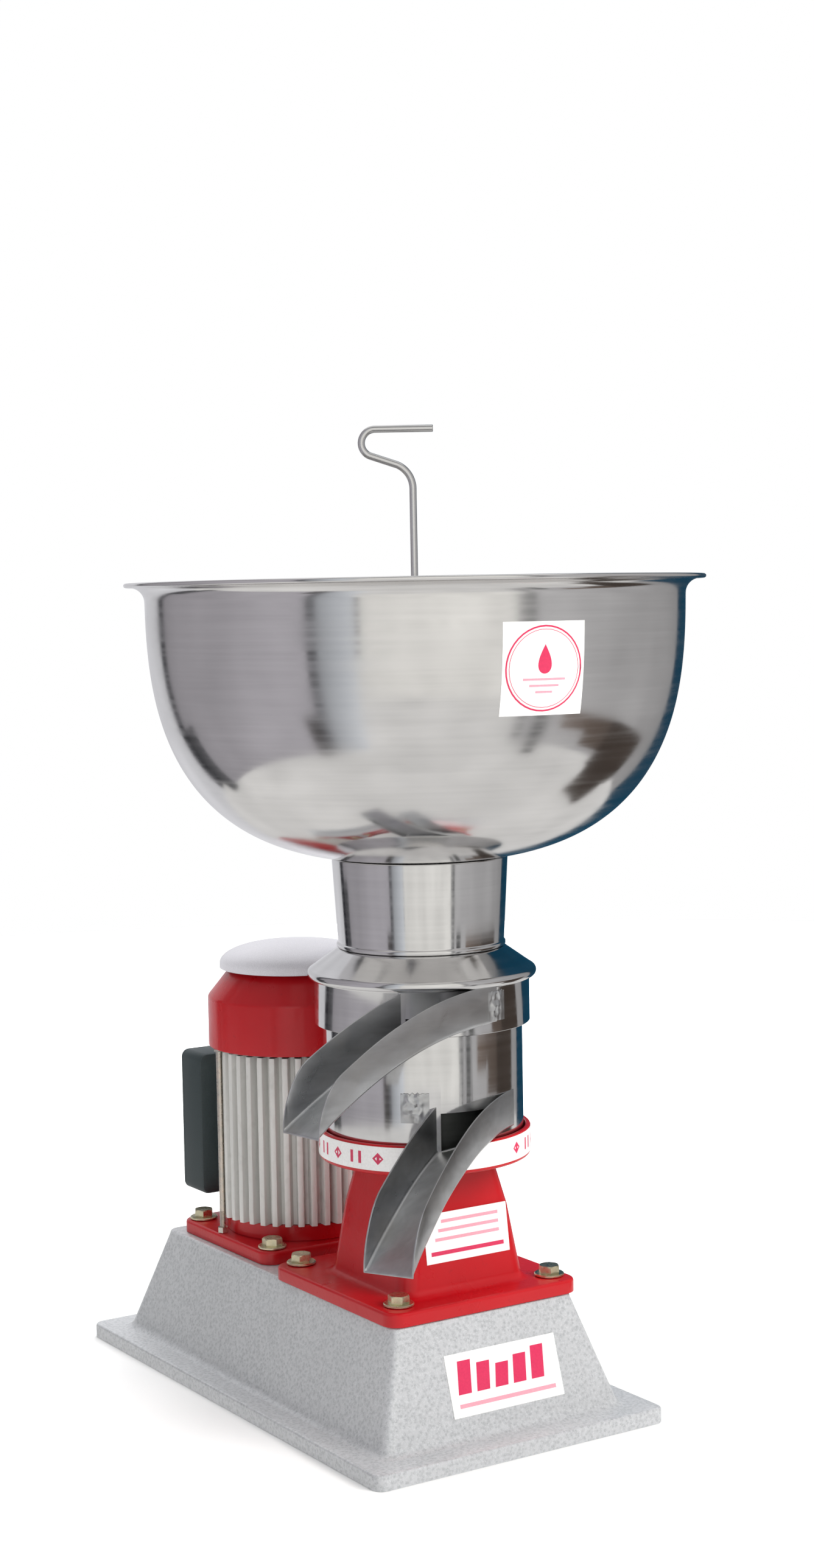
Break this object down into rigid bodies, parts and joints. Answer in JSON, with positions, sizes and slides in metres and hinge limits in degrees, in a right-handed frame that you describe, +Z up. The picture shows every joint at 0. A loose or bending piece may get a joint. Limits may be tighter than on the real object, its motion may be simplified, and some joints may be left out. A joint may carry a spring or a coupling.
{
  "type": "cream separator",
  "caption": "Table-top cream separator: silver cast base, red column with two spouts under a round steel supply bowl, and a finned vertical motor with terminal box.",
  "frame": {"origin": "on the floor, at the centre of the whole machine's outline", "axes": "+Z up; the base's long side lies along Y, with the bowl column at the -Y end and the motor at the +Y end; the spouts point to -X"},
  "size_m": [0.4, 0.5024, 0.6915],
  "materials": {
    "silver_paint": "hammered silver paint",
    "red_paint": "glossy red paint",
    "zinc": "yellowish zinc plating",
    "stainless": "polished and brushed stainless sheet",
    "float_steel": "satin",
    "steel": "ground",
    "tinned_steel": "tinned",
    "brass": "turned",
    "gasket_rubber": "moulded",
    "belt": "matte",
    "cast_iron": "machined casting",
    "aluminium": "die-cast, lightly painted",
    "dark_casting": "dark paint",
    "laminations": "varnished sheet stack",
    "rotor": "turned",
    "pulley": "turned",
    "black_plastic": "dark slate grey, fine grain",
    "white_cap": "pale grey, satin",
    "capacitor": "plain can",
    "terminal_block": "cream plastic"
  },
  "bodies": {
    "base": {"base_casting": "silver_paint", "body_casting": "red_paint", "motor_plate": "red_paint", "fan_cowl": "red_paint", "motor_shield_lower": "red_paint", "body_bolt_1": "zinc", "body_bolt_2": "zinc", "body_bolt_3": "zinc", "body_bolt_4": "zinc", "motor_plate_bolt_1": "zinc", "motor_plate_bolt_2": "zinc", "motor_plate_bolt_3": "zinc", "motor_plate_bolt_4": "zinc", "tie_rod_1": "zinc", "tie_rod_2": "zinc", "tie_rod_3": "zinc", "spindle_bearing_lower": "steel", "spindle_bearing_upper": "steel", "motor_bearing_lower": "steel", "motor_bearing_upper": "steel", "drive_belt": "belt", "spindle_housing": "cast_iron", "motor_barrel": "aluminium", "motor_shield_upper": "dark_casting", "stator": "laminations", "terminal_box": "black_plastic", "terminal_box_lid": "black_plastic", "cable_gland": "black_plastic", "drip_cover": "white_cap", "run_capacitor": "capacitor", "terminal_block": "terminal_block"},
    "motor_rotor": {"motor_shaft": "steel", "rotor": "rotor", "motor_pulley": "pulley", "cooling_fan": "black_plastic"},
    "drum": {"spindle": "steel", "spindle_pulley": "steel", "drum_base": "tinned_steel", "drum_gasket": "gasket_rubber", "distributor": "tinned_steel", "cone_disc_1": "tinned_steel", "cone_disc_2": "tinned_steel", "cone_disc_3": "tinned_steel", "cone_disc_4": "tinned_steel", "top_disc": "tinned_steel", "drum_hood": "tinned_steel", "drum_nut": "brass"},
    "lower_cover": {"milk_cover": "stainless"},
    "upper_cover": {"cream_cover": "stainless"},
    "neck": {"float_chamber": "stainless"},
    "float": {"float": "float_steel"},
    "bowl": {"supply_bowl": "stainless", "tap_seat": "steel"},
    "tap": {"tap_rod": "stainless"}
  },
  "joints": [
    {"name": "drum_spin", "type": "hinge", "parent": "base", "child": "drum", "pos_m": [0, -0.05125, 0.2], "axis": [0, 0, 1], "continuous": true},
    {"name": "motor_spin", "type": "hinge", "parent": "base", "child": "motor_rotor", "pos_m": [0, 0.12475, 0.16], "axis": [0, 0, 1], "continuous": true},
    {"name": "lower_cover_lift", "type": "slide", "parent": "base", "child": "lower_cover", "axis": [0, 0, 1], "range_m": [0, 0.1]},
    {"name": "upper_cover_turn", "type": "hinge", "parent": "lower_cover", "child": "upper_cover", "pos_m": [0, -0.05125, 0.285], "axis": [0, 0, 1], "range_deg": [-60, 90]},
    {"name": "neck_lift", "type": "slide", "parent": "upper_cover", "child": "neck", "axis": [0, 0, 1], "range_m": [0, 0.08]},
    {"name": "float_rise", "type": "slide", "parent": "neck", "child": "float", "axis": [0, 0, 1], "range_m": [0, 0.008]},
    {"name": "bowl_lift", "type": "slide", "parent": "neck", "child": "bowl", "axis": [0, 0, 1], "range_m": [0, 0.12]},
    {"name": "tap_turn", "type": "hinge", "parent": "bowl", "child": "tap", "pos_m": [0, -0.05125, 0.39], "axis": [0, 0, 1], "range_deg": [0, 90]}
  ],
  "couplings": [
    {"joint": "motor_spin", "follows": "drum_spin", "ratio": 0.3333}
  ]
}
